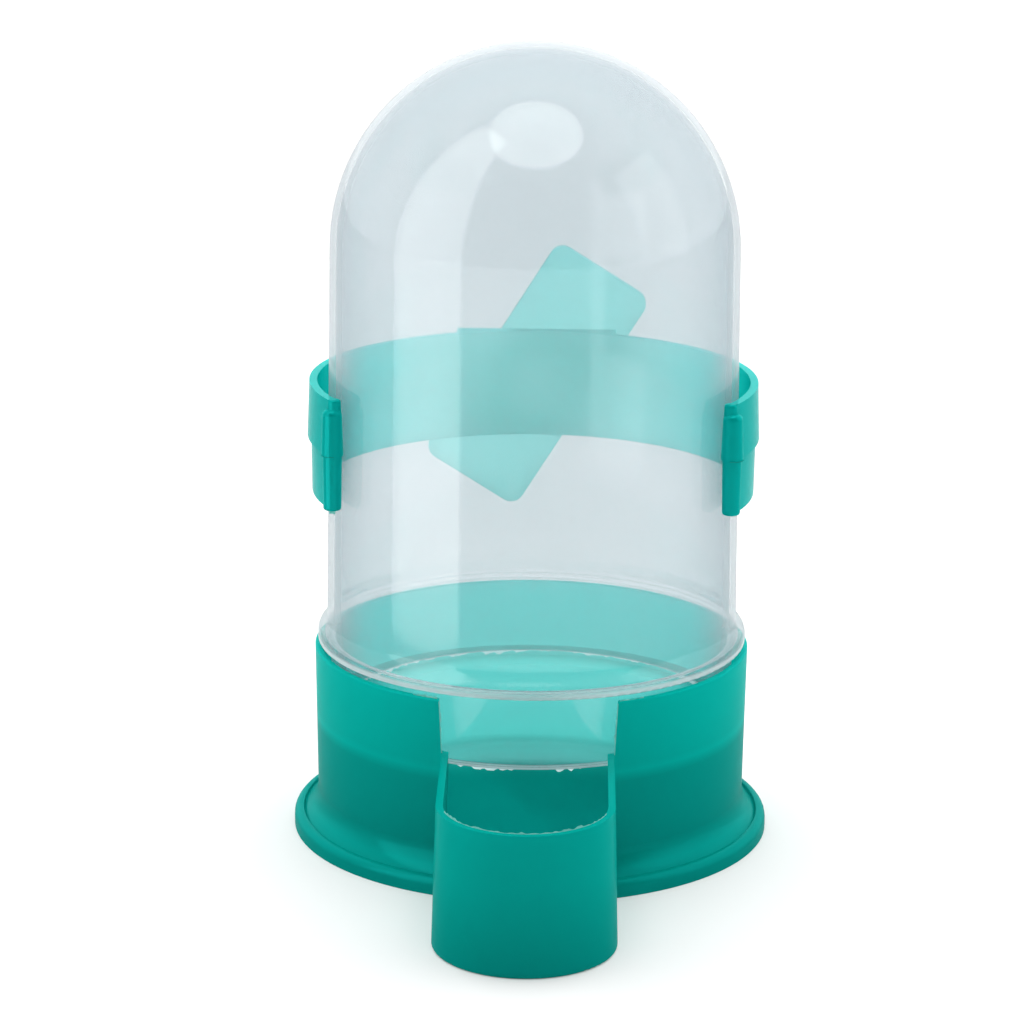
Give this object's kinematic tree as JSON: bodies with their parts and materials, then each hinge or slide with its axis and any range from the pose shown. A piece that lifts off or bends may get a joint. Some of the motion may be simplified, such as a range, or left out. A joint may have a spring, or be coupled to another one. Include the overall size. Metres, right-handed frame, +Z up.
{
  "type": "gravity drinker",
  "caption": "Small gravity drinker for caged birds and chicks: domed clear tank on a round base with a long drinking spout, and a push-on clip with a twist bar for cage mesh.",
  "frame": {"origin": "centre of the base's flat underside, on the tank's axis", "axes": "+Z up along the tank's axis, -Y along the drinking spout, +Y towards the clip's twist bar"},
  "size_m": [0.0826, 0.1198, 0.1368],
  "materials": {
    "clear_plastic": "milky translucent polypropylene, glossy outside",
    "base_plastic": "translucent teal polypropylene, semi-gloss moulded",
    "clip_plastic": "translucent teal polypropylene, glossy moulded"
  },
  "bodies": {
    "base": {"base": "base_plastic"},
    "tank": {"tank": "clear_plastic"},
    "clip": {"cage_clip": "clip_plastic"}
  },
  "joints": [
    {"name": "tank_lift", "type": "slide", "parent": "base", "child": "tank", "axis": [0, 0, 1], "range_m": [0, 0.05]},
    {"name": "clip_slide", "type": "slide", "parent": "tank", "child": "clip", "axis": [0, 0, 1], "range_m": [-0.0215, 0.022]}
  ]
}
